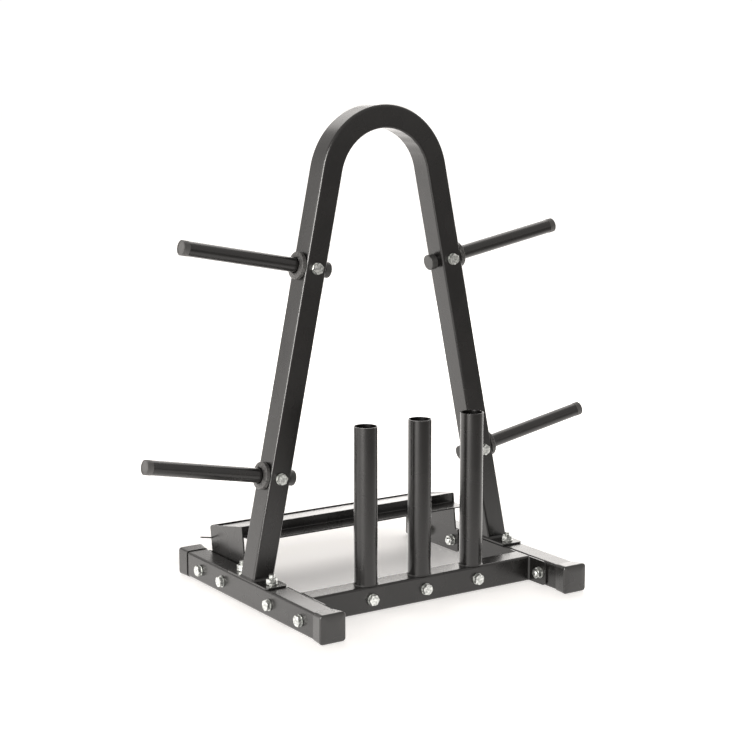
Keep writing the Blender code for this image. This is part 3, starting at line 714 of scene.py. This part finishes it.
bpy.ops.object.modifier_apply(modifier="sheet")
finish(shelf, powder_coat, "black_powder_coat", "rear_shelf")


# Rear brackets: 3 mm steel plates, each bolted to a foot's inner side, with a wide tab that rises
# from it. The tab's upper edge falls to the rear with the shelf that is welded to it.
BRACKET_FRONT = BRACKET_BACK - 0.1414
BRACKET_BOTTOM = 0.003
BRACKET_SHOULDER = 0.0455
BRACKET_CORNER = 0.0035
BRACKET_CORNER_STEPS = 5
BRACKET_EDGE = 0.0004
BRACKET_EDGE_ABOVE = math.radians(60)  # only sharper edges are rounded
BRACKET_BOLTS = (("front", 0.087, 0.6), ("back", 0.167, 0.1))  # end, place along Y and spin
TAB_FRONT = BRACKET_BACK - 0.133
TAB_BACK = BRACKET_BACK - 0.015
tab_middle = (TAB_FRONT + TAB_BACK) / 2
bracket = block("bracket_pattern",
                (BRACKET_SHEET, BRACKET_BACK - BRACKET_FRONT, BRACKET_SHOULDER - BRACKET_BOTTOM),
                (BRACKET_X + BRACKET_SHEET / 2, (BRACKET_BACK + BRACKET_FRONT) / 2,
                 (BRACKET_SHOULDER + BRACKET_BOTTOM) / 2))
bpy.ops.object.mode_set(mode="EDIT")
for cut in (TAB_FRONT, TAB_BACK):
    bpy.ops.mesh.select_all(action="SELECT")
    bpy.ops.mesh.bisect(plane_co=(0, cut, 0), plane_no=(0, 1, 0))
choose_faces(bracket, lambda middle, normal: normal.z > ALONG and TAB_FRONT < middle.y < TAB_BACK)
pull_out(0, 0, SHELF_FRONT_Z - BRACKET_SHOULDER)
choose_edges(bracket, lambda middle, along: abs(along.x) > ALONG
             and middle.z > SHELF_FRONT_Z - NEAR and middle.y < tab_middle)
bpy.ops.transform.translate(value=(0, SHELF_FRONT_Y - TAB_FRONT, 0))
choose_edges(bracket, lambda middle, along: abs(along.x) > ALONG
             and middle.z > SHELF_FRONT_Z - NEAR and middle.y > tab_middle)
bpy.ops.transform.translate(value=(0, SHELF_BACK_Y - TAB_BACK, SHELF_BACK_Z - SHELF_FRONT_Z))
choose_edges(bracket, lambda middle, along: abs(along.x) > ALONG)
round_edges(BRACKET_CORNER, BRACKET_CORNER_STEPS)
bpy.ops.object.mode_set(mode="OBJECT")
edge_round = bracket.modifiers.new("edge", "BEVEL")
edge_round.width = BRACKET_EDGE
edge_round.segments = EDGE_ROUND_STEPS
edge_round.limit_method = "ANGLE"
edge_round.angle_limit = BRACKET_EDGE_ABOVE
bpy.ops.object.modifier_apply(modifier="edge")
for side, sign in SIDES.items():
    place = (0 if sign > 0 else -2 * BRACKET_X - BRACKET_SHEET, 0, 0)
    twin = copy_to(bracket, f"{side}_shelf_bracket", place)
    finish(twin, powder_coat, "black_powder_coat", f"rear_bracket_{side}")
    for end, y, spin in BRACKET_BOLTS:
        twin = copy_to(cross_bolt, f"{side}_bracket_{end}_bolt",
                       (sign * BRACKET_X, y, TUBE_MIDDLE),
                       bolt_turn("Y", sign * math.pi / 2, spin + sign * 0.25))
        finish(twin, zinc, "zinc_plated_steel", f"bracket_bolt_{side}_{end}")
discard(bracket)
discard(cross_bolt)


# Bracket pins: thin dark steel pins with small round heads, one through each bracket near its rear
# top. They rise outwards a little.
PIN_TILT = math.radians(10.7)
PIN_RADIUS = 0.00125
PIN_REACH = 0.0225         # outside the bracket
PIN_ROUND = 0.0004
PIN_HEAD_RADIUS = 0.0025
PIN_HEAD = (-0.0068, -0.0008)
PIN_HEAD_ROUND = 0.0005
PIN_SIDES = 24
PIN_ROUND_STEPS = 3
PIN_SPOT = (-0.013, 0.070)  # from the bracket's rear edge, and its height
pin = round_bar("pin_pattern", PIN_RADIUS, -GAP, BRACKET_SHEET + PIN_REACH, PIN_SIDES)
choose_edges(pin, lambda middle, along: abs(along.z) < ACROSS and middle.z > PIN_REACH)
round_edges(PIN_ROUND, PIN_ROUND_STEPS)
bpy.ops.object.mode_set(mode="OBJECT")
pin_head = round_bar("pin_head", PIN_HEAD_RADIUS, *PIN_HEAD, PIN_SIDES)
choose_edges(pin_head, lambda middle, along: abs(along.z) < ACROSS)
round_edges(PIN_HEAD_ROUND, PIN_ROUND_STEPS)
bpy.ops.object.mode_set(mode="OBJECT")
pin = join([pin, pin_head], "pin_pattern")
dark_pin = finish_look(
    "blackened_pin_steel", dark=(0.05, 0.05, 0.05), light=(0.09, 0.09, 0.09),
    roughness=0.4, spread=0.08, grain=700, bump=0.2, metallic=1.0)
for side, sign in SIDES.items():
    twin = copy_to(pin, f"{side}_bracket_pin",
                   (sign * BRACKET_X, BRACKET_BACK + PIN_SPOT[0], PIN_SPOT[1]),
                   (0, sign * (math.pi / 2 - PIN_TILT), 0))
    finish(twin, dark_pin, "zinc_plated_steel", f"bracket_pin_{side}")
discard(pin)


# Studio: a white floor and surround, with soft lights at the left, the right, above and behind. The
# floor carries painted light, a glow brightest behind the rack, and painted shade, darker for the
# camera inside and near the rack. A strip at the front left shows only as gloss along the left
# leg's corner, and the camera stands at the photograph's angle.
FLOOR_SIZE = 60
FLOOR_Z = -0.0004
# Painted light and shade: the shine is the floor's painted glow in reflections and bounced light,
# and the ahead, beside and far stops set its brightness for the camera, low inside the rack as
# painted shade.
FLOOR_SHINE = 1.6          # strength of the floor's glow in reflections
FLOOR_AHEAD_STOPS = ((0.0, 0.20), (0.3, 0.27), (0.6, 0.52), (0.72, 0.60), (0.82, 0.70))
FLOOR_BESIDE_STOPS = ((0.42, 0.0), (0.54, 0.66), (0.70, 0.74))
FLOOR_FAR_STOPS = ((0.12, 0.10), (0.21, 0.45), (0.35, 0.66), (0.85, 1.05))
FLOOR_SHINE_STOPS = ((0.0, 0.05), (0.42, 0.06), (0.60, 0.78), (0.69, 0.80), (0.79, 1.0))
WARM_WHITE = (1, 0.97, 0.94)
deselect()
bpy.ops.mesh.primitive_plane_add(size=FLOOR_SIZE, location=(0, 0, FLOOR_Z))
floor = bpy.context.object
floor.name = "floor"
floor_look = bpy.data.materials.new("white_floor_painted_shade_and_glow")
floor_look.use_nodes = True
tree = floor_look.node_tree
paint = tree.nodes["Principled BSDF"]
paint.inputs["Base Color"].default_value = (0.80, 0.79, 0.78, 1)
paint.inputs["Roughness"].default_value = 0.6
paint.inputs["Specular IOR Level"].default_value = 0.25
paint.inputs["Emission Color"].default_value = (1, 0.975, 0.95, 1)


def node_math(tree, operation, first, second, third=0.0):
    """Math node on numbers or on other nodes' outputs."""
    node = tree.nodes.new("ShaderNodeMath")
    node.operation = operation
    for socket, value in zip(node.inputs, (first, second, third)):
        if isinstance(value, float):
            socket.default_value = value
        else:
            tree.links.new(value, socket)
    return node.outputs[0]


def grey_ramp(tree, value, stops):
    """Grey that follows a value between stops of (value, grey)."""
    ramp = tree.nodes.new("ShaderNodeValToRGB")
    while len(ramp.color_ramp.elements) < len(stops):
        ramp.color_ramp.elements.new(0.5)
    for stop, (position, grey) in zip(ramp.color_ramp.elements, stops):
        stop.position = position
        stop.color = (grey, grey, grey, 1)
    tree.links.new(value, ramp.inputs["Fac"])
    return ramp.outputs["Color"]


# Painted light and shade on the floor, set by the place on it. In reflections and bounced light it
# glows as painted light, brighter away from the camera. For the camera it is dark inside the rack
# as painted shade, and pales in front of the rack, beside it and far from it.
place = tree.nodes.new("ShaderNodeTexCoord")
spot = tree.nodes.new("ShaderNodeSeparateXYZ")
tree.links.new(place.outputs["Object"], spot.inputs[0])
away = node_math(tree, "MULTIPLY_ADD", spot.outputs["X"], -0.5, spot.outputs["Y"])
painted_glow_pattern = grey_ramp(tree, node_math(tree, "MULTIPLY_ADD", away, 0.25, 0.75), FLOOR_SHINE_STOPS)
length = tree.nodes.new("ShaderNodeVectorMath")
length.operation = "LENGTH"
tree.links.new(place.outputs["Object"], length.inputs[0])
distance = node_math(tree, "MULTIPLY", length.outputs["Value"], 0.5)
far = grey_ramp(tree, distance, FLOOR_FAR_STOPS)
forward = node_math(tree, "MULTIPLY_ADD", spot.outputs["Y"], -2.0, 0.5)
ahead = grey_ramp(tree, forward, FLOOR_AHEAD_STOPS)
aside = node_math(tree, "MULTIPLY", node_math(tree, "ABSOLUTE", spot.outputs["X"], 0.0), 2.0)
painted_shade_level = node_math(tree, "MAXIMUM", ahead, grey_ramp(tree, aside, FLOOR_BESIDE_STOPS))
painted_shade_level = node_math(tree, "MAXIMUM", painted_shade_level, far)
ray = tree.nodes.new("ShaderNodeLightPath")
seen = node_math(tree, "MULTIPLY", painted_shade_level, ray.outputs["Is Camera Ray"])
unseen = node_math(tree, "SUBTRACT", 1.0, ray.outputs["Is Camera Ray"])
mirrored = node_math(tree, "MULTIPLY", painted_glow_pattern, unseen)
glow = node_math(tree, "MULTIPLY_ADD", mirrored, FLOOR_SHINE, seen)
tree.links.new(glow, paint.inputs["Emission Strength"])
floor.data.materials.append(floor_look)

world = bpy.data.worlds.new("studio_surround")
bpy.context.scene.world = world
world.use_nodes = True
tree = world.node_tree
tree.nodes.clear()
out = tree.nodes.new("ShaderNodeOutputWorld")
soft = tree.nodes.new("ShaderNodeBackground")
soft.inputs["Color"].default_value = (0.16, 0.155, 0.15, 1)
white = tree.nodes.new("ShaderNodeBackground")
white.inputs["Color"].default_value = (*WARM_WHITE, 1)
white.inputs["Strength"].default_value = 1.07
ray = tree.nodes.new("ShaderNodeLightPath")
shown = node_math(tree, "MAXIMUM", ray.outputs["Is Camera Ray"], ray.outputs["Is Glossy Ray"])
shown = node_math(tree, "MAXIMUM", shown, ray.outputs["Is Transmission Ray"])
blend = tree.nodes.new("ShaderNodeMixShader")
tree.links.new(shown, blend.inputs[0])
tree.links.new(soft.outputs[0], blend.inputs[1])
tree.links.new(white.outputs[0], blend.inputs[2])
tree.links.new(blend.outputs[0], out.inputs[0])

# Each softbox: name, place, the point that it faces, size and watts.
SOFTBOXES = (
    ("left", (-2.6, 1.4, 1.0), (0, 0, 0.4), (2.4, 2.2), 38),
    ("front_left", (-3.0, -1.3, 0.9), (0, 0, 0.4), (0.7, 1.8), 12),
    ("strip", (-2.4, -1.4, 1.25), (-0.2, 0, 0.5), (1.3, 1.9), 190),
    ("right", (3.2, 0.5, 1.0), (0, 0, 0.4), (2.0, 2.0), 32),
    ("behind", (2.8, 2.5, 1.0), (0, 0, 0.2), (3.0, 1.6), 42),
    ("above", (0.9, 1.7, 2.7), (0, 0, 0), (3.0, 2.2), 40),
)
for name, spot, target, size, power in SOFTBOXES:
    lamp = bpy.data.lights.new(f"{name}_softbox", "AREA")
    lamp.shape = "RECTANGLE"
    lamp.size, lamp.size_y = size
    lamp.energy = power
    lamp.color = WARM_WHITE
    stand = bpy.data.objects.new(f"{name}_softbox", lamp)
    bpy.context.scene.collection.objects.link(stand)
    stand.location = spot
    stand.rotation_euler = (Vector(target) - Vector(spot)).to_track_quat("-Z", "Y").to_euler()
    stand.visible_camera = False
    stand.visible_diffuse = name != "strip"

CAMERA_PLACE = (-1.6501, -2.4752, 0.892)
CAMERA_PITCH = -0.1731     # radians above the level
CAMERA_YAW = -0.5863       # radians anticlockwise from +Y
lens = bpy.data.cameras.new("camera")
lens.sensor_width = 36
lens.lens = 83.02
camera = bpy.data.objects.new("camera", lens)
bpy.context.scene.collection.objects.link(camera)
camera.location = CAMERA_PLACE
camera.rotation_euler = (math.pi / 2 + CAMERA_PITCH, 0, CAMERA_YAW)
bpy.context.scene.camera = camera
bpy.context.scene.view_settings.view_transform = "Standard"
